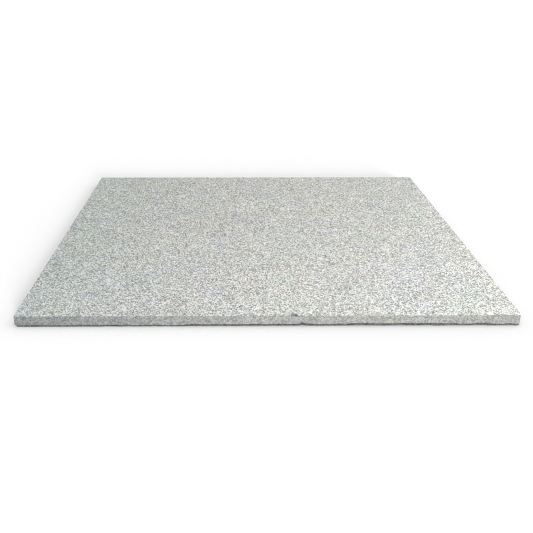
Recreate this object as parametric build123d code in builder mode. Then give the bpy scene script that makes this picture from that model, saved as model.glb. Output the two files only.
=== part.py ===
from build123d import *
import math
import os

# Granite slab used as a solid, flat backing block under leather while it is
# stamped, carved or skived. It is cut from one plate of stone: a honed work face
# on top, sawn sides, a sawn underside, and no other piece fixed to it.
#
# Frame: origin at the centre of the underside, +Z up through the work face,
# X across the front edge, -Y at the front edge, +Y at the rear edge.

# ---- driving dimensions, millimetres -------------------------------------
SLAB_W = 457.0        # width across the front edge (18 in stone format)
SLAB_D = 457.0        # depth, front edge to rear edge
SLAB_T = 11.0         # thin plate stone sold as 3/8 in, at the thick end, 7/16 in

CORNER_ARRIS = 0.5    # radius of the four upright corner arrises
TOP_ARRIS = 0.35      # fine bevel rubbed around the honed work face
LOWER_RISE = 2.0      # strip broken away where the saw leaves the stone: its
LOWER_RUN = 1.2       # height up the side, and its width across the underside

# Shallow conchoidal spalls along the lower arris, one list for each side.
# (place along the side from its middle, width along the arris, depth measured
# inward along the 45 degree line from the sharp arris)
FRONT_SPALLS = [
    (-143.0, 16.0, 1.55),
    (-64.0, 20.0, 1.50),
    (31.1, 4.2, 2.50),
    (81.0, 17.0, 1.85),
    (144.5, 12.0, 1.80),
    (193.0, 14.0, 1.90),
]
REAR_SPALLS = [(-96.0, 15.0, 1.80), (41.0, 21.0, 1.70), (168.0, 11.0, 1.95)]
LEFT_SPALLS = [(-178.0, 13.0, 1.80), (-12.0, 24.0, 1.60), (119.0, 16.0, 1.90)]
RIGHT_SPALLS = [(-131.0, 18.0, 1.70), (36.0, 12.0, 1.90), (187.0, 19.0, 1.75)]

# Lower corners broken off: (X sign, Y sign, depth along the body diagonal, radius)
CORNER_SPALLS = [
    (-1, -1, 1.7, 3.5),
    (1, -1, 1.8, 3.5),
    (1, 1, 2.6, 5.0),
    (-1, 1, 2.4, 5.0),
]

# A pit where a dark mineral clot has plucked out of the front top arris
PIT_X = 23.5          # from the middle of the front edge
PIT_RADIUS = 3.6
PIT_DEPTH = 0.55

# ---- spall geometry -------------------------------------------------------
DIAGONAL = math.sqrt(0.5)
# sharp arris to the face of the broken strip, along the 45 degree line
BEVEL_FACE = 2 * DIAGONAL * LOWER_RISE * LOWER_RUN / (LOWER_RISE + LOWER_RUN)


def edge_scoop(along, width, depth, side):
    """Centre and radius of the ball that scoops one spall from a lower arris."""
    extra = depth - BEVEL_FACE
    radius = ((width / 2) ** 2 + extra**2) / (2 * extra)
    out = (radius - depth) * DIAGONAL
    if side == "front":
        return (along, -SLAB_D / 2 - out, -out), radius
    if side == "rear":
        return (along, SLAB_D / 2 + out, -out), radius
    if side == "left":
        return (-SLAB_W / 2 - out, along, -out), radius
    return (SLAB_W / 2 + out, along, -out), radius


def corner_scoop(sx, sy, depth, radius):
    """Centre of the ball that takes one lower corner off."""
    out = (radius - depth) / math.sqrt(3)
    return (sx * (SLAB_W / 2 + out), sy * (SLAB_D / 2 + out), -out)


scoops = []
for side, spalls in (
    ("front", FRONT_SPALLS),
    ("rear", REAR_SPALLS),
    ("left", LEFT_SPALLS),
    ("right", RIGHT_SPALLS),
):
    for along, width, depth in spalls:
        scoops.append(edge_scoop(along, width, depth, side))

# ---- the slab -------------------------------------------------------------
with BuildPart() as granite_slab:
    # plate sawn to plan size
    Box(SLAB_W, SLAB_D, SLAB_T, align=(Align.CENTER, Align.CENTER, Align.MIN))

    # arrises: fine and regular above, coarser and wider below
    work_face = granite_slab.faces().sort_by(Axis.Z)[-1]
    chamfer(work_face.edges(), TOP_ARRIS)
    underside = granite_slab.faces().sort_by(Axis.Z)[0]
    chamfer(underside.edges(), LOWER_RUN, LOWER_RISE, reference=underside)

    # upright corner arrises eased to a small radius
    with BuildSketch(Plane.XY):
        RectangleRounded(SLAB_W, SLAB_D, CORNER_ARRIS)
    extrude(amount=SLAB_T, mode=Mode.INTERSECT)

    # spalls along the lower arris
    for centre, radius in scoops:
        with Locations(centre):
            Sphere(radius, mode=Mode.SUBTRACT)

    # lower corners
    for sx, sy, depth, radius in CORNER_SPALLS:
        with Locations(corner_scoop(sx, sy, depth, radius)):
            Sphere(radius, mode=Mode.SUBTRACT)

    # pit at the dark clot on the front top arris
    pit_out = (PIT_RADIUS - PIT_DEPTH) * DIAGONAL
    with Locations((PIT_X, -SLAB_D / 2 - pit_out, SLAB_T + pit_out)):
        Sphere(PIT_RADIUS, mode=Mode.SUBTRACT)

granite_slab.part.label = "granite_slab"

os.makedirs("parts", exist_ok=True)
export_step(granite_slab.part, "parts/granite_slab.step")

print("granite_slab volume mm3", round(granite_slab.part.volume, 1))
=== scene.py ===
import math

import bpy
import numpy as np
from mathutils import Matrix, Vector


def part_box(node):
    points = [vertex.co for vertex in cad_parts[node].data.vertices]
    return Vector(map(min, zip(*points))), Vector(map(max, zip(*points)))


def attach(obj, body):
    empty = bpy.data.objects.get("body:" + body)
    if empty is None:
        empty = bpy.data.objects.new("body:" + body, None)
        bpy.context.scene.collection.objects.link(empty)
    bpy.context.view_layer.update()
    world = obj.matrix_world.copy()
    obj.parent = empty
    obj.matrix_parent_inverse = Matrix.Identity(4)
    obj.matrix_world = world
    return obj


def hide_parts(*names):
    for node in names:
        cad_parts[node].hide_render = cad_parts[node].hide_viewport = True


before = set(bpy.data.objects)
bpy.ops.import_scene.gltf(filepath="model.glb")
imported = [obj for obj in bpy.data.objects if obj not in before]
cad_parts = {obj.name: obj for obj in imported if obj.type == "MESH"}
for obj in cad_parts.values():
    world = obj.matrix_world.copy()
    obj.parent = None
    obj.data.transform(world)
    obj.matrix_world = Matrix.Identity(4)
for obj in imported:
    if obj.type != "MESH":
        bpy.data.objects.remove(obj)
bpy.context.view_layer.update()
scene = bpy.context.scene

# ---------------------------------------------------------------------------
# Sizes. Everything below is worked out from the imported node's box. The working
# unit of the mesh code is the millimetre, measured from the underside's centre.
# ---------------------------------------------------------------------------
lo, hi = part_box("granite_slab")
W = (hi.x - lo.x) * 1000.0          # across the front edge
D = (hi.y - lo.y) * 1000.0          # front to rear
T = (hi.z - lo.z) * 1000.0          # thickness
CX, CY, Z0 = (hi.x + lo.x) * 500.0, (hi.y + lo.y) * 500.0, lo.z * 1000.0

CORNER_R = 0.5                      # upright corner arris
CORNER_RADII = [1.8, 0.8, 1.0, 0.5] # as worn: front right, rear right, rear left, front left
SIDE_SEGS = 452                     # columns along one side, about 1 mm apart
CORNER_SEGS = 6                     # steps round one upright arris


# ---------------------------------------------------------------------------
# Seeded noise
# ---------------------------------------------------------------------------
_table = np.random.RandomState(41).rand(8192)


def hash3(ix, iy, iz, seed):
    h = (ix * 73856093) ^ (iy * 19349663) ^ (iz * 83492791) ^ (seed * 2654435)
    return _table[np.abs(h) % 8192]


def vnoise(x, y, z, seed):
    """Smooth value noise in -1..1 at points given in cells."""
    x, y, z = np.broadcast_arrays(x, y, z)
    xi, yi, zi = (np.floor(a).astype(np.int64) for a in (x, y, z))
    fx, fy, fz = x - xi, y - yi, z - zi
    fx, fy, fz = (f * f * (3 - 2 * f) for f in (fx, fy, fz))
    out = 0
    for dx in (0, 1):
        for dy in (0, 1):
            for dz in (0, 1):
                wgt = (
                    (fx if dx else 1 - fx)
                    * (fy if dy else 1 - fy)
                    * (fz if dz else 1 - fz)
                )
                out = out + wgt * hash3(xi + dx, yi + dy, zi + dz, seed)
    return out * 2 - 1


def vnoise1(t, seed):
    return vnoise(t, 0.0 * t, 0.0 * t, seed)


# ---------------------------------------------------------------------------
# The perimeter: columns run counter-clockwise seen from above, front edge first
# ---------------------------------------------------------------------------
# side 0 front (-Y), 1 right (+X), 2 rear (+Y), 3 left (-X)
NORMALS = [(0, -1), (1, 0), (0, 1), (-1, 0)]
TANGENTS = [(1, 0), (0, 1), (-1, 0), (0, -1)]
HALF = [(W / 2, D / 2), (D / 2, W / 2), (W / 2, D / 2), (D / 2, W / 2)]  # along, out

side_of, along, corner_angle = [], [], []
for k in range(4):
    half_along = HALF[k][0]
    for i in range(SIDE_SEGS + 1):
        side_of.append(k)
        along.append(-(half_along - CORNER_R) + 2 * (half_along - CORNER_R) * i / SIDE_SEGS)
        corner_angle.append(-1.0)
    for i in range(1, CORNER_SEGS):
        side_of.append(k)
        along.append(half_along - CORNER_R)
        corner_angle.append(i / CORNER_SEGS)
side_of = np.array(side_of)
along = np.array(along)
corner_angle = np.array(corner_angle)
N = len(along)
perimeter_s = np.zeros(N)           # running length, for the sides' texture map
for k in range(4):
    m = side_of == k
    half_along = HALF[k][0]
    extra = np.where(corner_angle[m] > 0, corner_angle[m] * CORNER_RADII[k] * math.pi / 2, 0)
    perimeter_s[m] = along[m] + half_along - CORNER_R + extra


def place(inset, z):
    """Points of one ring: every column's outline point moved in by inset, at height z."""
    inset = np.broadcast_to(np.asarray(inset, float), (N,))
    z = np.broadcast_to(np.asarray(z, float), (N,))
    out = np.zeros((N, 3))
    for k in range(4):
        half_along, half_out = HALF[k]
        nx, ny = NORMALS[k]
        tx, ty = TANGENTS[k]
        m = (side_of == k) & (corner_angle < 0)
        r_from = np.maximum(CORNER_RADII[k - 1] - inset[m], 0.10)
        r_to = np.maximum(CORNER_RADII[k] - inset[m], 0.10)
        u = 0.5 + 0.5 * along[m] / (half_along - CORNER_R)
        a = -(half_along - inset[m] - r_from) * (1 - u) + (half_along - inset[m] - r_to) * u
        o = half_out - inset[m]
        out[m, 0], out[m, 1] = a * tx + o * nx, a * ty + o * ny
        m = (side_of == k) & (corner_angle > 0)
        th = corner_angle[m] * math.pi / 2
        rr = np.maximum(CORNER_RADII[k] - inset[m], 0.10)
        a = half_along - inset[m] - rr + rr * np.sin(th)
        o = half_out - inset[m] - rr + rr * np.cos(th)
        out[m, 0], out[m, 1] = a * tx + o * nx, a * ty + o * ny
    out[:, 2] = z
    return out


# ---------------------------------------------------------------------------
# The lower arris: where the saw left the stone it broke away in an uneven,
# hollow strip. lip = height of the strip's upper edge, cut = how far in it goes.
# ---------------------------------------------------------------------------
def bump(t, centre, width, power=0.5):
    u = np.clip(1 - ((t - centre) / (width / 2)) ** 2, 0, 1)
    return u**power


def arc(side, t):
    """One running coordinate for the noise, so that corners join up."""
    return side * 463.7 + t


u_run = arc(side_of, along)
lip = (
    1.97
    + 0.12 * vnoise1(u_run / 27.0, 1)
    + 0.16 * vnoise1(u_run / 9.0, 2)
    + 0.13 * vnoise1(u_run / 3.1, 3)
    + 0.08 * vnoise1(u_run / 1.3, 4)
)
cut = (
    1.15
    + 0.20 * vnoise1(u_run / 21.0, 5)
    + 0.20 * vnoise1(u_run / 6.0, 6)
    + 0.14 * vnoise1(u_run / 1.9, 7)
)
# long stretches where more has gone: (side, from, to, rise of the lip, extra depth)
STRETCHES = [
    (0, -76.0, 205.0, 0.50, 0.20),
    (0, 74.0, 172.0, 0.42, -0.05),
    (0, 150.0, 232.0, 0.0, -0.45),
    (0, -232.0, -120.0, 0.0, -0.35),
    (1, -190.0, -40.0, 0.45, 0.20),
    (1, 60.0, 150.0, 0.30, 0.10),
    (2, -120.0, 30.0, 0.50, 0.20),
    (3, -60.0, 130.0, 0.40, 0.15),
]
for side, t0, t1, rise, depth in STRETCHES:
    m = side_of == side
    step_in = np.clip((along[m] - t0) / 4.0 + 0.5, 0, 1)
    step_out = np.clip((t1 - along[m]) / 6.0 + 0.5, 0, 1)
    b = (step_in * step_out) ** 2 * (3 - 2 * step_in * step_out)
    lip[m] += rise * b
    cut[m] += depth * b
# larger spalls: (side, place along it, width, rise of the lip, extra depth)
SPALLS = [
    (0, -168.0, 9.0, 0.35, 0.4),
    (0, -143.0, 16.0, 0.30, 0.5),
    (0, -127.0, 8.0, 0.50, 0.5),
    (0, -104.0, 7.0, 0.35, 0.3),
    (0, -64.0, 18.0, 0.10, 0.4),
    (0, 31.1, 4.6, 1.60, 1.3),
    (0, 35.5, 7.0, 0.30, 0.4),
    (0, 81.0, 17.0, 0.28, 0.8),
    (0, 121.0, 9.0, 0.20, 0.4),
    (0, 144.5, 11.0, 0.30, 0.7),
    (0, 193.0, 13.0, 0.60, 0.8),
    (0, 219.0, 9.0, 0.55, 0.6),
    (1, -131.0, 19.0, 0.55, 0.8),
    (1, -60.0, 8.0, 0.45, 0.5),
    (1, 36.0, 13.0, 0.85, 0.9),
    (1, 112.0, 7.0, 0.40, 0.4),
    (1, 187.0, 20.0, 0.60, 0.7),
    (2, -168.0, 12.0, 0.90, 0.9),
    (2, -41.0, 22.0, 0.55, 0.7),
    (2, 12.0, 8.0, 0.35, 0.3),
    (2, 96.0, 16.0, 0.70, 0.8),
    (2, 205.0, 10.0, 0.55, 0.5),
    (3, -119.0, 17.0, 0.80, 0.9),
    (3, -33.0, 9.0, 0.35, 0.4),
    (3, 12.0, 25.0, 0.55, 0.6),
    (3, 88.0, 6.0, 0.60, 0.6),
    (3, 178.0, 14.0, 0.75, 0.7),
]
for side, t0, width, rise, depth in SPALLS:
    m = side_of == side
    b = bump(along[m], t0, width)
    lip[m] += rise * b
    cut[m] += depth * b
# the lower corners are knocked off
CORNER_LOSS = [(0, 0.3, 0.3, 1.6), (1, 1.4, 1.2, 3.2), (2, 1.2, 1.2, 3.0), (3, 0.4, 0.4, 1.8)]
for k, rise, depth, reach in CORNER_LOSS:
    nxt = (k + 1) % 4
    half_k, half_n = HALF[k][0] - CORNER_R, HALF[nxt][0] - CORNER_R
    dist = np.full(N, 1e9)
    m = (side_of == k) & (corner_angle < 0)
    dist[m] = half_k - along[m]
    m = (side_of == k) & (corner_angle > 0)
    dist[m] = 0.0
    m = (side_of == nxt) & (corner_angle < 0)
    dist[m] = np.minimum(dist[m], along[m] + half_n)
    fall = np.clip(1 - dist / reach, 0, 1) ** 1.4
    lip += rise * fall
    cut += depth * fall
lip = np.clip(lip, 0.9, 5.2)
cut = np.clip(cut, 0.5, 3.2)
bend = 2.4 + 0.7 * vnoise1(u_run / 5.0, 8)   # how hollow the strip is

# ---------------------------------------------------------------------------
# The top arris: a fine rubbed bevel with very small nicks
# ---------------------------------------------------------------------------
top_in = 0.34 + 0.05 * vnoise1(u_run / 14.0, 11) + 0.03 * vnoise1(u_run / 2.3, 12)
top_dn = 0.30 + 0.04 * vnoise1(u_run / 11.0, 13) + 0.03 * vnoise1(u_run / 2.0, 14)
rng = np.random.RandomState(7)
for side in range(4):
    m = side_of == side
    for _ in range(30):
        t0 = rng.uniform(-HALF[side][0] + 3, HALF[side][0] - 3)
        width = rng.uniform(1.2, 3.4)
        size = rng.uniform(0.10, 0.45) ** 1.0
        b = bump(along[m], t0, width, 0.8)
        top_in[m] += size * b * rng.uniform(0.6, 1.3)
        top_dn[m] += size * b * rng.uniform(0.6, 1.3)
m = side_of == 0
top_in[m] += 0.75 * bump(along[m], 22.0, 3.6, 0.7) + 0.85 * bump(along[m], 24.9, 2.6, 0.7)
top_dn[m] += 0.35 * bump(along[m], 22.0, 3.6, 0.7) + 0.55 * bump(along[m], 24.9, 2.6, 0.7)

# ---------------------------------------------------------------------------
# Rings from the middle of the underside, round the side, to the work face
# ---------------------------------------------------------------------------
TOP, SIDE, BREAK, UNDER, ARRIS = 0.0, 1.0, 2.0, 3.0, 4.0
rings, zone_between, profile_v = [], [], []   # zone of the faces after each ring


def add_ring(inset, z, zone_after, v=None):
    rings.append(place(inset, z))
    zone_between.append(zone_after)
    profile_v.append(v)


add_ring(14.0, 0.0, UNDER)
add_ring(cut + 3.0, 0.0, UNDER)
add_ring(cut + 0.9, 0.0, UNDER)
steps = [0.0, 0.10, 0.24, 0.40, 0.56, 0.71, 0.84, 0.93, 1.0]
for j, f in enumerate(steps):
    hollow = cut * (1 - f**bend)
    rough = 0.0
    if 0 < f < 1:
        base = place(hollow, lip * f)
        rough = 4 * f * (1 - f) * (
            0.20 * vnoise(base[:, 0] / 1.7, base[:, 1] / 1.7, base[:, 2] / 0.9, 21)
            + 0.12 * vnoise(base[:, 0] / 0.8, base[:, 1] / 0.8, base[:, 2] / 0.45, 22)
        )
    inset = np.clip(hollow + rough, 0.0, None)
    add_ring(inset, lip * f, BREAK if j < len(steps) - 1 else SIDE, f * 2.4)
side_steps = [0.05, 0.14, 0.27, 0.42, 0.58, 0.73, 0.86, 0.95]
for f in side_steps:
    z = lip + (T - top_dn - lip) * f
    base = place(0.0, z)
    wave = 0.018 * (1 + vnoise(base[:, 0] / 3.3, base[:, 1] / 3.3, base[:, 2] / 1.5, 31))
    wave = wave * min(1.0, 4 * f, 5 * (1 - f))
    add_ring(np.clip(wave, 0, None), z, SIDE, 2.4 + 9.0 * f)
arris_steps = 4
for j in range(arris_steps + 1):
    th = j / arris_steps * math.pi / 2
    inset = top_in * (1 - math.cos(th))
    z = T - top_dn * (1 - math.sin(th))
    add_ring(inset, z, ARRIS if j < arris_steps else TOP, 11.4 + 0.6 * j / arris_steps)
add_ring(top_in + 0.55, T, TOP)
add_ring(4.0, T, TOP)
add_ring(14.0, T, None)
R = len(rings)

verts = np.concatenate(rings)
faces, zones = [], []
for r in range(R - 1):
    a, b = r * N, (r + 1) * N
    for i in range(N):
        j = (i + 1) % N
        faces.append((a + i, a + j, b + j, b + i))
        zones.append(zone_between[r])
face_ring = [r for r in range(R - 1) for _ in range(N)]


# ---------------------------------------------------------------------------
# The two large flat faces: a coarse grid, joined to the fine ring round it
# ---------------------------------------------------------------------------
def ring_parameter():
    p = np.zeros(N)
    for k in range(4):
        m = (side_of == k) & (corner_angle < 0)
        half_along = HALF[k][0] - CORNER_R
        p[m] = k + 0.999 * (along[m] + half_along) / (2 * half_along)
        m = (side_of == k) & (corner_angle > 0)
        p[m] = k + 0.999 + 0.001 * corner_angle[m]
    return p


GRID = 30


def add_cap(verts, first, z, up):
    """Fills the ring that starts at vertex `first` with a coarse grid, facing up or down."""
    inset = 22.0
    gx = np.linspace(-(W / 2 - inset), W / 2 - inset, GRID + 1)
    gy = np.linspace(-(D / 2 - inset), D / 2 - inset, GRID + 1)
    base = len(verts)
    pts = np.array([(x, y, z) for y in gy for x in gx])
    verts = np.concatenate([verts, pts])

    def at(ix, iy):
        return base + iy * (GRID + 1) + ix

    zone = TOP if up else UNDER
    for iy in range(GRID):
        for ix in range(GRID):
            q = (at(ix, iy), at(ix + 1, iy), at(ix + 1, iy + 1), at(ix, iy + 1))
            faces.append(q if up else q[::-1])
            zones.append(zone)
    loop = (
        [at(i, 0) for i in range(GRID)]
        + [at(GRID, i) for i in range(GRID)]
        + [at(GRID - i, GRID) for i in range(GRID)]
        + [at(0, GRID - i) for i in range(GRID)]
    )
    outer_p = list(ring_parameter()) + [4.0]
    inner_p = [i / GRID for i in range(4 * GRID)] + [4.0]
    i = j = 0
    n_in = 4 * GRID
    while i < N or j < n_in:
        if j >= n_in or (i < N and outer_p[i + 1] <= inner_p[j + 1]):
            tri = (first + i, first + (i + 1) % N, loop[j % n_in])
            i += 1
        else:
            tri = (loop[j % n_in], first + i % N, loop[(j + 1) % n_in])
            j += 1
        faces.append(tri if up else tri[::-1])
        zones.append(zone)
    return verts


verts = add_cap(verts, (R - 1) * N, T, True)
verts = add_cap(verts, 0, 0.0, False)

world = verts / 1000.0
world[:, 0] += CX / 1000.0
world[:, 1] += CY / 1000.0
world[:, 2] += Z0 / 1000.0

mesh = bpy.data.meshes.new("granite_stone")
mesh.from_pydata([tuple(v) for v in world], [], faces)
mesh.update()
zone_attr = mesh.attributes.new("zone", "FLOAT", "FACE")
zone_attr.data.foreach_set("value", np.array(zones, np.float32))

# ---------------------------------------------------------------------------
# Texture map: the work face gets most of the square, the four sides lie below
# it as strips, and the underside is small beside it.
# ---------------------------------------------------------------------------
uv = mesh.uv_layers.new(name="OFBake")
loop_vert = np.empty(len(mesh.loops), np.int32)
mesh.loops.foreach_get("vertex_index", loop_vert)
starts = np.empty(len(mesh.polygons), np.int32)
totals = np.empty(len(mesh.polygons), np.int32)
mesh.polygons.foreach_get("loop_start", starts)
mesh.polygons.foreach_get("loop_total", totals)
loop_face = np.repeat(np.arange(len(starts)), totals)
loop_zone = np.array(zones)[loop_face]
P = verts[loop_vert]
coords = np.zeros((len(loop_vert), 2))
is_top, is_under = loop_zone == TOP, loop_zone == UNDER
TOP_LO, TOP_SIZE = (0.004, 0.248), 0.748
coords[is_top, 0] = TOP_LO[0] + TOP_SIZE * (P[is_top, 0] / W + 0.5)
coords[is_top, 1] = TOP_LO[1] + TOP_SIZE * (P[is_top, 1] / D + 0.5)
UN_LO, UN_SIZE = (0.760, 0.760), 0.234
coords[is_under, 0] = UN_LO[0] + UN_SIZE * (0.5 - P[is_under, 0] / W)
coords[is_under, 1] = UN_LO[1] + UN_SIZE * (P[is_under, 1] / D + 0.5)
is_edge = ~(is_top | is_under)
ring_of = loop_vert // N
col_of = loop_vert % N
v_of_ring = np.array([0.0 if v is None else v for v in profile_v])
edge_ring = np.clip(ring_of, 0, R - 1)
face_side = np.zeros(len(starts), int)
n_strip = (R - 1) * N
face_side[:n_strip] = side_of[np.arange(n_strip) % N]
fs = face_side[loop_face]
s = perimeter_s[col_of].astype(float)
wrap = is_edge & (side_of[col_of] != fs)     # a strip's last column is the next side's first
side_len = np.array([2 * (h[0] - CORNER_R) + r * math.pi / 2 for h, r in zip(HALF, CORNER_RADII)])
s = np.where(wrap, side_len[fs], s)
STRIP_LO, STRIP_H, STRIP_STEP = 0.008, 0.050, 0.060
coords[is_edge, 0] = 0.004 + 0.990 * s[is_edge] / side_len.max()
coords[is_edge, 1] = (
    STRIP_LO + STRIP_STEP * fs[is_edge] + STRIP_H * v_of_ring[edge_ring[is_edge]] / 12.0
)
uv.data.foreach_set("uv", coords.astype(np.float32).ravel())

mesh.shade_smooth()
mesh.set_sharp_from_angle(angle=math.radians(28.0))
mesh.validate()

slab = bpy.data.objects.new("granite_slab_stone", mesh)
scene.collection.objects.link(slab)
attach(slab, "root")
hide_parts("granite_slab")


# ---------------------------------------------------------------------------
# Material
# ---------------------------------------------------------------------------
class Nodes:
    """Small helper that writes a node tree as expressions."""

    def __init__(self, name):
        self.mat = bpy.data.materials.new(name)
        self.mat.use_nodes = True
        self.nt = self.mat.node_tree
        self.nt.nodes.clear()

    def new(self, kind, **props):
        n = self.nt.nodes.new(kind)
        for k, v in props.items():
            setattr(n, k, v)
        return n

    def put(self, socket, value):
        if isinstance(value, bpy.types.NodeSocket):
            self.nt.links.new(value, socket)
        elif value is not None:
            socket.default_value = value

    def math(self, op, a, b=None, c=None, clamp=False):
        n = self.new("ShaderNodeMath", operation=op, use_clamp=clamp)
        for i, v in enumerate((a, b, c)):
            if v is not None:
                self.put(n.inputs[i], v)
        return n.outputs[0]

    def vec(self, op, a, b=None, scale=None):
        n = self.new("ShaderNodeVectorMath", operation=op)
        self.put(n.inputs[0], a)
        if b is not None:
            self.put(n.inputs[1], b)
        if scale is not None:
            self.put(n.inputs["Scale"], scale)
        return n.outputs[0]

    def noise(self, vector, scale, detail=2.0, rough=0.5, colour=False):
        n = self.new("ShaderNodeTexNoise", noise_dimensions="3D")
        self.put(n.inputs["Vector"], vector)
        n.inputs["Scale"].default_value = scale
        n.inputs["Detail"].default_value = detail
        n.inputs["Roughness"].default_value = rough
        return n.outputs["Color"] if colour else n.outputs["Fac"]

    def cells(self, vector, scale, feature="F1", randomness=1.0):
        n = self.new("ShaderNodeTexVoronoi", voronoi_dimensions="3D", feature=feature)
        self.put(n.inputs["Vector"], vector)
        n.inputs["Scale"].default_value = scale
        n.inputs["Randomness"].default_value = randomness
        return n

    def split(self, colour):
        n = self.new("ShaderNodeSeparateColor")
        self.put(n.inputs[0], colour)
        return n.outputs[0], n.outputs[1], n.outputs[2]

    def mix(self, fac, a, b, blend="MIX"):
        n = self.new("ShaderNodeMix", data_type="RGBA", blend_type=blend)
        n.clamp_factor = True
        self.put(n.inputs[0], fac)
        self.put(n.inputs[6], a)
        self.put(n.inputs[7], b)
        return n.outputs[2]

    def mixf(self, fac, a, b):
        n = self.new("ShaderNodeMix", data_type="FLOAT")
        n.clamp_factor = True
        self.put(n.inputs[0], fac)
        self.put(n.inputs[2], a)
        self.put(n.inputs[3], b)
        return n.outputs[0]

    def ramp(self, fac, stops, interpolation="LINEAR"):
        n = self.new("ShaderNodeValToRGB")
        n.color_ramp.interpolation = interpolation
        els = n.color_ramp.elements
        while len(els) < len(stops):
            els.new(0.5)
        for e, (pos, col) in zip(els, stops):
            e.position = pos
            e.color = (*col, 1.0)
        self.put(n.inputs[0], fac)
        return n.outputs[0]

    def remap(self, value, a, b, c, d, smooth=False):
        n = self.new("ShaderNodeMapRange")
        n.interpolation_type = "SMOOTHSTEP" if smooth else "LINEAR"
        self.put(n.inputs["Value"], value)
        n.inputs["From Min"].default_value = a
        n.inputs["From Max"].default_value = b
        n.inputs["To Min"].default_value = c
        n.inputs["To Max"].default_value = d
        return n.outputs[0]


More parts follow.
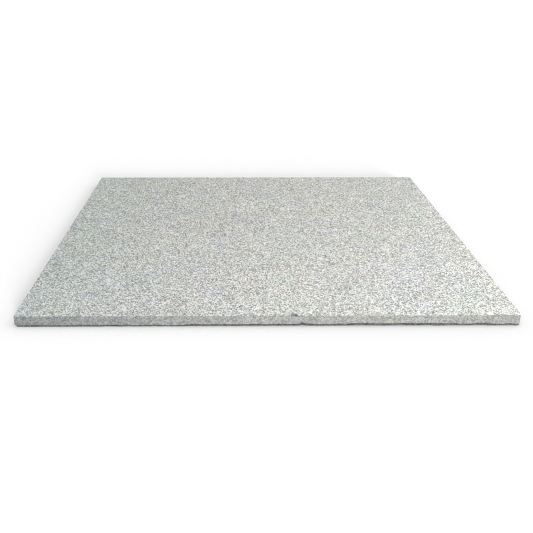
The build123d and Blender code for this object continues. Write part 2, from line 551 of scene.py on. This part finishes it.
def granite_material():
    g = Nodes("honed_granite")
    coord = g.new("ShaderNodeTexCoord").outputs["Object"]
    mm = g.vec("SCALE", coord, scale=1000.0)
    mm = g.vec("ADD", mm, (311.3, 127.7, 53.1))

    # grains have uneven outlines, so the cell pattern is warped at grain size
    warp = g.noise(mm, 1.3, 2.0, 0.55, colour=True)
    warp = g.vec("SUBTRACT", warp, (0.5, 0.5, 0.5))
    warp = g.vec("SCALE", warp, scale=0.8)
    p = g.vec("ADD", mm, warp)

    coarse = g.cells(p, 0.56)                        # grains about 1.8 mm
    medium = g.cells(g.vec("ADD", p, (17.0, 5.0, 9.0)), 0.98)   # about 1.0 mm
    fine = g.cells(g.vec("ADD", p, (3.0, 41.0, 23.0)), 1.45)    # about 0.7 mm
    cr, cg, cb = g.split(coarse.outputs["Color"])
    mr, mg, mb = g.split(medium.outputs["Color"])
    fr, fg, fb = g.split(fine.outputs["Color"])

    cloud = g.noise(mm, 0.011, 3.0, 0.5)             # drifts over 90 mm
    patch = g.noise(g.vec("ADD", mm, (71.0, 0.0, 13.0)), 0.045, 3.0, 0.55)   # about 20 mm
    tint = g.noise(g.vec("ADD", mm, (0.0, 91.0, 37.0)), 0.024, 2.0, 0.5)     # hue drift

    # plagioclase and potassium feldspar
    feldspar = g.ramp(mg, [
        (0.00, (0.560, 0.565, 0.535)),
        (0.35, (0.612, 0.619, 0.588)),
        (0.70, (0.650, 0.657, 0.625)),
        (1.00, (0.682, 0.687, 0.659)),
    ])
    buff = g.ramp(mb, [(0.0, (0.520, 0.495, 0.450)), (1.0, (0.640, 0.615, 0.570))])
    feldspar = g.mix(g.math("LESS_THAN", cb, 0.13), feldspar, buff)

    # quartz, grey and glassy, a little green or blue from place to place
    quartz = g.ramp(fg, [
        (0.00, (0.110, 0.118, 0.114)),
        (0.50, (0.180, 0.190, 0.184)),
        (1.00, (0.285, 0.296, 0.287)),
    ])
    is_quartz = g.math("GREATER_THAN", g.math("ADD", mr, g.math("MULTIPLY", patch, 0.09)), 0.675)
    colour = g.mix(is_quartz, feldspar, quartz)

    # larger white feldspar crystals
    crystal = g.ramp(cg, [(0.0, (0.625, 0.632, 0.606)), (1.0, (0.700, 0.705, 0.681))])
    is_crystal = g.math("LESS_THAN", cr, 0.08)
    colour = g.mix(is_crystal, colour, crystal)

    # biotite flecks, in loose clusters
    mica = g.ramp(fb, [(0.0, (0.018, 0.018, 0.020)), (1.0, (0.110, 0.108, 0.105))])
    crowd = g.remap(patch, 0.30, 0.70, 0.198, 0.241)
    is_mica = g.math("LESS_THAN", fr, crowd)
    colour = g.mix(is_mica, colour, mica)

    # a few larger books of biotite
    is_book = g.math("GREATER_THAN", cr, 0.968)
    colour = g.mix(is_book, colour, g.ramp(cg, [(0.0, (0.060, 0.061, 0.062)), (1.0, (0.170, 0.170, 0.168))]))

    # cloudy interior of the grains, and thin dark seams between them
    inner = g.noise(mm, 2.6, 2.0, 0.6)
    colour = g.mix(1.0, colour, g.ramp(inner, [(0.25, (0.875, 0.875, 0.875)), (0.75, (1.075, 1.075, 1.075))]), "MULTIPLY")
    seam = g.cells(g.vec("ADD", p, (17.0, 5.0, 9.0)), 0.98, feature="DISTANCE_TO_EDGE").outputs["Distance"]
    seam = g.remap(seam, 0.0, 0.10, 0.80, 1.0)
    colour = g.mix(1.0, colour, g.ramp(seam, [(0.0, (0.0, 0.0, 0.0)), (1.0, (1.0, 1.0, 1.0))]), "MULTIPLY")

    # the grains are a little closer in tone towards the front edge
    plate = g.new("ShaderNodeSeparateXYZ")
    g.put(plate.inputs[0], g.vec("ADD", coord, (-CX / 1000.0, -CY / 1000.0, 0.0)))
    across_x = g.math("ADD", g.math("DIVIDE", plate.outputs[0], W / 1000.0), 0.5)
    along_y = g.math("ADD", g.math("DIVIDE", plate.outputs[1], D / 1000.0), 0.5)
    even = g.remap(along_y, 0.0, 0.55, 0.160, 0.0)
    colour = g.mix(even, colour, (0.405, 0.410, 0.394, 1.0))

    # drift of tone and hue over the plate
    tone = g.remap(cloud, 0.3, 0.7, 0.919, 0.951)
    hue = g.ramp(tint, [
        (0.30, (0.940, 1.003, 0.987)),
        (0.42, (0.955, 1.000, 1.005)),
        (0.52, (0.985, 1.000, 0.985)),
        (0.62, (0.965, 0.995, 1.035)),
        (0.74, (0.940, 1.005, 1.010)),
    ])
    colour = g.mix(1.0, colour, hue, "MULTIPLY")
    warmth = g.noise(g.vec("ADD", mm, (57.0, 19.0, 83.0)), 0.026, 3.0, 0.55)
    warmth = g.ramp(warmth, [(0.28, (1.006, 1.000, 0.958)), (0.72, (0.994, 1.000, 1.042))])
    colour = g.mix(1.0, colour, warmth, "MULTIPLY")
    blush = g.noise(g.vec("ADD", mm, (7.0, 33.0, 49.0)), 0.012, 2.0, 0.5)
    blush = g.ramp(blush, [(0.28, (0.988, 1.000, 1.000)), (0.72, (1.012, 1.000, 1.000))])
    colour = g.mix(1.0, colour, blush, "MULTIPLY")
    # the stone is made greener and a shade darker towards its left edge; the darkening is painted shade for
    # the light falling off on the left
    drift = g.ramp(across_x, [
        (0.00, (0.927, 0.970, 0.970)),
        (0.10, (0.945, 0.980, 0.978)),
        (0.26, (0.980, 0.984, 0.988)),
        (0.42, (1.000, 0.998, 1.002)),
        (1.00, (0.995, 1.000, 1.008)),
    ])
    colour = g.mix(1.0, colour, drift, "MULTIPLY")
    drift = g.ramp(along_y, [(0.00, (1.010, 1.010, 1.023)), (0.30, (1.000, 1.000, 1.000)), (1.00, (1.008, 1.008, 0.985))])
    colour = g.mix(1.0, colour, drift, "MULTIPLY")
    toned = g.new("ShaderNodeVectorMath", operation="SCALE")
    g.put(toned.inputs[0], colour)
    g.put(toned.inputs["Scale"], tone)
    colour = toned.outputs[0]

    # where on the slab: 0 work face, 1 sawn side, 2 lower break, 3 underside, 4 top arris
    zone = g.new("ShaderNodeAttribute", attribute_name="zone").outputs["Fac"]

    def in_zone(k):
        return g.math("COMPARE", zone, float(k), 0.25)

    side, broken, under, arris = in_zone(1), in_zone(2), in_zone(3), in_zone(4)

    # sawn faces carry stone flour that greys and evens the grains
    flour = g.mix(g.noise(mm, 0.35, 3.0, 0.6), (0.183, 0.196, 0.190, 1.0), (0.253, 0.269, 0.258, 1.0))
    # the sawn colour is scaled along x: partly uneven flour, partly painted shade that darkens the sides
    # towards the left end where the light falls off
    flour_blotches_and_painted_shade = g.ramp(across_x, [
        (0.00, (0.853, 0.855, 0.897)),
        (0.12, (0.897, 0.897, 0.931)),
        (0.22, (0.997, 0.990, 1.006)),
        (0.34, (0.987, 0.972, 0.973)),
        (0.43, (1.121, 1.098, 1.086)),
        (0.56, (1.053, 1.031, 1.010)),
        (0.66, (0.991, 0.976, 0.954)),
        (0.76, (1.040, 1.027, 1.011)),
        (1.00, (0.934, 0.944, 0.930)),
    ])
    sawn = g.mix(0.54, colour, flour)
    sawn = g.mix(1.0, sawn, flour_blotches_and_painted_shade, "MULTIPLY")
    # here and there the saw face is a little blue or green
    veil = g.ramp(g.noise(g.vec("ADD", mm, (29.0, 61.0, 3.0)), 0.085, 2.0, 0.5), [
        (0.36, (0.965, 1.005, 0.985)),
        (0.46, (1.000, 1.000, 1.000)),
        (0.56, (1.000, 1.000, 1.000)),
        (0.66, (0.965, 1.000, 1.035)),
    ])
    sawn = g.mix(1.0, sawn, veil, "MULTIPLY")
    bed = g.mix(0.70, colour, flour)
    # lower broken strip: greyed towards crushed stone, then multiplied by 0.42, which is painted shade for the
    # shadow gap under the lower arris
    crushed_and_painted_shade = g.mix(0.30, colour, (0.24, 0.245, 0.235, 1.0))
    crushed_and_painted_shade = g.mix(1.0, crushed_and_painted_shade, (0.42, 0.42, 0.42, 1.0), "MULTIPLY")
    colour = g.mix(side, colour, sawn)
    colour = g.mix(under, colour, bed)
    colour = g.mix(broken, colour, crushed_and_painted_shade)
    colour = g.mix(arris, colour, g.mix(0.35, colour, (0.30, 0.31, 0.30, 1.0)))

    # dark mica clot at the front top arris
    sep = g.new("ShaderNodeSeparateXYZ")
    g.put(sep.inputs[0], g.vec("ADD", coord, g.vec("SCALE", warp, scale=0.0006)))
    x, y, z = sep.outputs[0], sep.outputs[1], sep.outputs[2]

    def blob(cx, cy, cz, rx, ry, rz, inner_d=0.75, outer_d=1.15):
        dx = g.math("DIVIDE", g.math("SUBTRACT", x, cx), rx)
        dy = g.math("DIVIDE", g.math("SUBTRACT", y, cy), ry)
        dz = g.math("DIVIDE", g.math("SUBTRACT", z, cz), rz)
        d = g.math("ADD", g.math("MULTIPLY", dx, dx), g.math("MULTIPLY", dy, dy))
        d = g.math("ADD", d, g.math("MULTIPLY", dz, dz))
        return g.remap(d, inner_d, outer_d, 1.0, 0.0)

    fy, tz = lo.y, hi.z
    clot_a = blob(0.0220, fy + 0.0012, tz, 0.0021, 0.0036, 0.0013)
    clot_b = blob(0.0249, fy + 0.0010, tz, 0.0013, 0.0032, 0.0016)
    clot_colour = g.mix(inner, (0.060, 0.064, 0.066, 1.0), (0.215, 0.222, 0.222, 1.0))
    colour = g.mix(clot_a, colour, clot_colour)
    colour = g.mix(clot_b, colour, g.mix(1.0, clot_colour, (0.50, 0.50, 0.50, 1.0), "MULTIPLY"))
    stain = blob(0.0240, fy, tz - 0.0050, 0.0060, 0.0040, 0.0052, 0.1, 1.4)
    colour = g.mix(g.math("MULTIPLY", g.math("MULTIPLY", stain, side), 0.22), colour, (0.25, 0.31, 0.34, 1.0))

    # gloss: quartz takes the best polish, mica the worst
    rough = g.mixf(is_quartz, 0.44, 0.36)
    rough = g.mixf(is_mica, rough, 0.58)
    rough = g.math("ADD", rough, g.remap(g.noise(mm, 0.9, 3.0, 0.6), 0.3, 0.7, -0.04, 0.05))
    rough = g.mixf(side, rough, g.math("ADD", rough, 0.22))
    rough = g.mixf(under, rough, g.math("ADD", rough, 0.28))
    rough = g.mixf(broken, rough, 0.80)
    rough = g.mixf(arris, rough, 0.55)
    rough = g.math("MULTIPLY", rough, 1.0, clamp=True)

    # relief in millimetres
    relief = g.math("MULTIPLY", g.math("SUBTRACT", 1.0, is_mica), 0.012)
    relief = g.math("ADD", relief, g.math("MULTIPLY", is_quartz, 0.004))
    relief = g.math("ADD", relief, g.math("MULTIPLY", g.noise(mm, 1.8, 3.0, 0.6), 0.016))
    # saw marks on the sides run along the cut; on the underside they sweep across it
    across = g.new("ShaderNodeSeparateXYZ")
    g.put(across.inputs[0], mm)
    ax, ay, az = across.outputs[0], across.outputs[1], across.outputs[2]
    kerf = g.math("ADD", g.math("MULTIPLY", az, 5.2), g.math("MULTIPLY", g.noise(mm, 0.05, 2.0, 0.5), 9.0))
    kerf = g.math("MULTIPLY", g.math("SINE", kerf), 0.018)
    grit = g.math("MULTIPLY", g.noise(mm, 1.25, 4.0, 0.65), 0.10)
    side_relief = g.math("ADD", g.math("ADD", relief, kerf), grit)
    sweep = g.math("ADD", g.math("MULTIPLY", ay, 1.15), g.math("MULTIPLY", g.noise(mm, 0.012, 2.0, 0.5), 14.0))
    sweep = g.math("MULTIPLY", g.math("SINE", sweep), 0.030)
    bed_relief = g.math("ADD", g.math("ADD", relief, sweep), grit)
    crush = g.math("MULTIPLY", g.noise(mm, 1.1, 5.0, 0.7), 0.55)
    relief = g.mixf(side, relief, side_relief)
    relief = g.mixf(under, relief, bed_relief)
    relief = g.mixf(broken, relief, crush)
    height = g.new("ShaderNodeBump")
    height.inputs["Strength"].default_value = 1.0
    height.inputs["Distance"].default_value = 0.001
    g.put(height.inputs["Height"], relief)

    out = g.new("ShaderNodeOutputMaterial")
    bsdf = g.new("ShaderNodeBsdfPrincipled")
    g.put(bsdf.inputs["Base Color"], colour)
    g.put(bsdf.inputs["Roughness"], rough)
    g.put(bsdf.inputs["Normal"], height.outputs[0])
    bsdf.inputs["IOR"].default_value = 1.46
    g.nt.links.new(bsdf.outputs[0], out.inputs["Surface"])
    return g.mat


mesh.materials.append(granite_material())

# ---------------------------------------------------------------------------
# Floor, light, camera
# ---------------------------------------------------------------------------
floor_mesh = bpy.data.meshes.new("floor_sheet")
NEAR, FAR = 0.46, 2.0               # the sheet reaches well past every shadow; beyond it all is white
floor_mesh.from_pydata(
    [(-FAR, -NEAR, 0), (NEAR, -NEAR, 0), (NEAR, FAR, 0), (-FAR, FAR, 0)], [], [(0, 1, 2, 3)]
)
floor = bpy.data.objects.new("floor_sheet", floor_mesh)
scene.collection.objects.link(floor)
floor.location.z = lo.z
paper = Nodes("white_floor")
paper_out = paper.new("ShaderNodeOutputMaterial")
paper_bsdf = paper.new("ShaderNodeBsdfPrincipled")
paper_bsdf.inputs["Base Color"].default_value = (0.815, 0.815, 0.815, 1.0)
paper_bsdf.inputs["Roughness"].default_value = 0.9
paper_bsdf.inputs["Specular IOR Level"].default_value = 0.0
paper.nt.links.new(paper_bsdf.outputs[0], paper_out.inputs["Surface"])
floor_mesh.materials.append(paper.mat)

# a soft dome, bright overhead, dimmer towards the horizon and on the left
sky = bpy.data.worlds.new("studio")
scene.world = sky
sky.use_nodes = True
dome = sky.node_tree
dome.nodes.clear()


def dome_math(op, a, b):
    n = dome.nodes.new("ShaderNodeMath")
    n.operation = op
    for i, v in enumerate((a, b)):
        if isinstance(v, bpy.types.NodeSocket):
            dome.links.new(v, n.inputs[i])
        else:
            n.inputs[i].default_value = v
    return n.outputs[0]


direction = dome.nodes.new("ShaderNodeTexCoord").outputs["Generated"]
split_dir = dome.nodes.new("ShaderNodeSeparateXYZ")
dome.links.new(direction, split_dir.inputs[0])
rise = dome_math("MAXIMUM", split_dir.outputs[2], 0.0)
DOME_LOW, DOME_TOP, DOME_RIGHT = 0.90, 0.32, 0.28
glow = dome_math("ADD", dome_math("MULTIPLY", dome_math("POWER", rise, 2.0), DOME_TOP), DOME_LOW)
glow = dome_math("ADD", glow, dome_math("MULTIPLY", split_dir.outputs[0], DOME_RIGHT))
seen = dome.nodes.new("ShaderNodeLightPath").outputs["Is Camera Ray"]
backdrop = dome_math(
    "ADD",
    dome_math("MULTIPLY", glow, dome_math("SUBTRACT", 1.0, seen)),
    dome_math("MULTIPLY", seen, 2.0),
)
back = dome.nodes.new("ShaderNodeBackground")
back.inputs["Color"].default_value = (1.0, 1.0, 1.0, 1.0)
dome.links.new(backdrop, back.inputs["Strength"])
world_out = dome.nodes.new("ShaderNodeOutputWorld")
dome.links.new(back.outputs[0], world_out.inputs["Surface"])


def softbox(name, place_at, aim, size, power):
    data = bpy.data.lights.new(name, "AREA")
    data.color = (1.0, 0.935, 0.888)
    data.shape = "RECTANGLE"
    data.size, data.size_y = size
    data.energy = power
    ob = bpy.data.objects.new(name, data)
    ob.location = place_at
    ob.rotation_mode = "QUATERNION"
    ob.rotation_quaternion = (Vector(aim) - Vector(place_at)).to_track_quat("-Z", "Y")
    ob.visible_camera = False
    ob.visible_glossy = False       # crossed polarisers: no glare of the boxes in the honed face
    scene.collection.objects.link(ob)
    return ob


boxes = [
    softbox("softbox_front", (0.30, -0.65, 0.30), (0.05, -0.10, 0.0), (0.5, 0.5), 3.5),
    softbox("softbox_right", (0.75, -0.15, 0.50), (0.05, -0.10, 0.0), (0.5, 0.5), 6.1),
]
# the softboxes are flagged off the floor, which the dome lights evenly
flagged = bpy.data.collections.new("softbox_receivers")
flagged.objects.link(slab)
for ob in boxes:
    ob.light_linking.receiver_collection = flagged
# a low, broad wash over the floor alone, from the front and a little from the
# right, leaves the slab's soft shadow behind it and to its left
wash_data = bpy.data.lights.new("floor_wash", "SUN")
wash_data.angle = math.radians(12.0)
wash_data.energy = 4.92
wash = bpy.data.objects.new("floor_wash", wash_data)
wash_el, wash_az = math.radians(6.5), math.radians(16.0)
wash_from = Vector((
    math.sin(wash_az) * math.cos(wash_el),
    -math.cos(wash_az) * math.cos(wash_el),
    math.sin(wash_el),
))
wash.rotation_mode = "QUATERNION"
wash.rotation_quaternion = (-wash_from).to_track_quat("-Z", "Y")
scene.collection.objects.link(wash)
washed = bpy.data.collections.new("wash_receivers")
washed.objects.link(floor)
wash.light_linking.receiver_collection = washed

cam_data = bpy.data.cameras.new("camera")
cam = bpy.data.objects.new("camera", cam_data)
scene.collection.objects.link(cam)
cam_data.sensor_fit = "HORIZONTAL"
cam_data.sensor_width = 36.0
cam_data.lens = 719.06 / 533.0 * 36.0
cam_data.shift_x = 21.42 / 533.0
cam_data.shift_y = 4.32 / 533.0
cam_data.clip_start, cam_data.clip_end = 0.01, 200.0
pitch, yaw, roll = (math.radians(a) for a in (23.032, 0.610, 0.103))
forward = Vector((
    math.sin(yaw) * math.cos(pitch),
    math.cos(yaw) * math.cos(pitch),
    -math.sin(pitch),
))
right = Vector((math.cos(yaw), -math.sin(yaw), 0.0))
up = right.cross(forward)
right_r = right * math.cos(roll) + up * math.sin(roll)
up_r = up * math.cos(roll) - right * math.sin(roll)
unit = W / 1000.0
eye = Vector((
    CX / 1000.0 - 0.05957 * unit,
    lo.y - 1.26559 * unit,
    hi.z + 0.63373 * unit,
))
cam.matrix_world = Matrix((
    (right_r.x, up_r.x, -forward.x, eye.x),
    (right_r.y, up_r.y, -forward.y, eye.y),
    (right_r.z, up_r.z, -forward.z, eye.z),
    (0.0, 0.0, 0.0, 1.0),
))
scene.camera = cam
# fine grain is only a pixel or two wide, so the pixel filter is kept narrow and
# the denoiser is guided by grain that it hasn't smoothed beforehand
scene.cycles.filter_width = 1.25
scene.cycles.denoising_prefilter = "FAST"

scene.view_settings.view_transform = "Standard"
scene.view_settings.look = "None"
scene.view_settings.exposure = 0.0
scene.view_settings.gamma = 1.0
